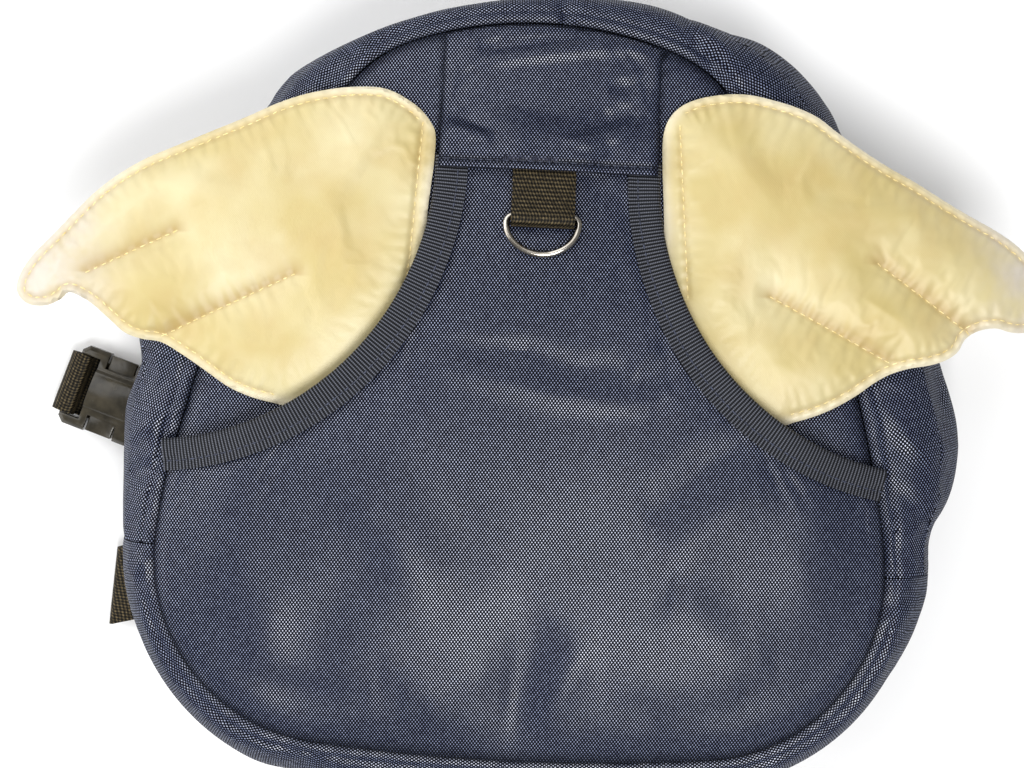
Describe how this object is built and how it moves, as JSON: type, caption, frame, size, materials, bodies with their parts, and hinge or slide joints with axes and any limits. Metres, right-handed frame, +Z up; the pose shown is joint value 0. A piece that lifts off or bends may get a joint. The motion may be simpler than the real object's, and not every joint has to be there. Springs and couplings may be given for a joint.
{
  "type": "mini backpack",
  "caption": "Small child's backpack lying on its back: domed zipped bag with a bound front pocket, padded wings at the sides of a yoke, a swinging ring on a webbing tab, straps under it.",
  "frame": {"origin": "on the floor, under the middle of the whole bag's box", "axes": "+X to the right of the front panel, +Y to the bag's top, +Z up, out of the front panel"},
  "size_m": [0.3172, 0.258, 0.0812],
  "materials": {
    "navy_cloth": "woven polyester with a slight sheen",
    "ribbed_tape": "ribbed binding tape",
    "zip_tape": "coil zip on woven tape",
    "cream_satin": "padded satin, topstitched",
    "black_webbing": "woven webbing",
    "nickel_wire": "nickel plated wire",
    "black_plastic": "moulded, glossy"
  },
  "bodies": {
    "bag": {"back_panel": "navy_cloth", "gusset_base": "navy_cloth", "gusset_front": "navy_cloth", "gusset_back": "navy_cloth", "zip": "zip_tape", "front_panel": "navy_cloth", "front_yoke": "navy_cloth", "pocket_panel": "navy_cloth", "pocket_binding_left": "ribbed_tape", "pocket_binding_right": "ribbed_tape", "wing_left": "cream_satin", "wing_right": "cream_satin", "ring_tab": "black_webbing", "shoulder_strap_left": "navy_cloth", "shoulder_strap_right": "navy_cloth", "lower_webbing_left": "black_webbing", "lower_webbing_right": "black_webbing", "buckle_socket": "black_plastic", "buckle_plug": "black_plastic", "chest_webbing_long": "black_webbing", "chest_webbing_short": "black_webbing", "grab_loop": "black_webbing"},
    "ring": {"d_ring": "nickel_wire"}
  },
  "joints": [
    {"name": "ring_swing", "type": "hinge", "parent": "bag", "child": "ring", "pos_m": [0.00189, 0.04895, 0.07781], "axis": [-1, 0, 0], "range_deg": [0, 160]}
  ]
}
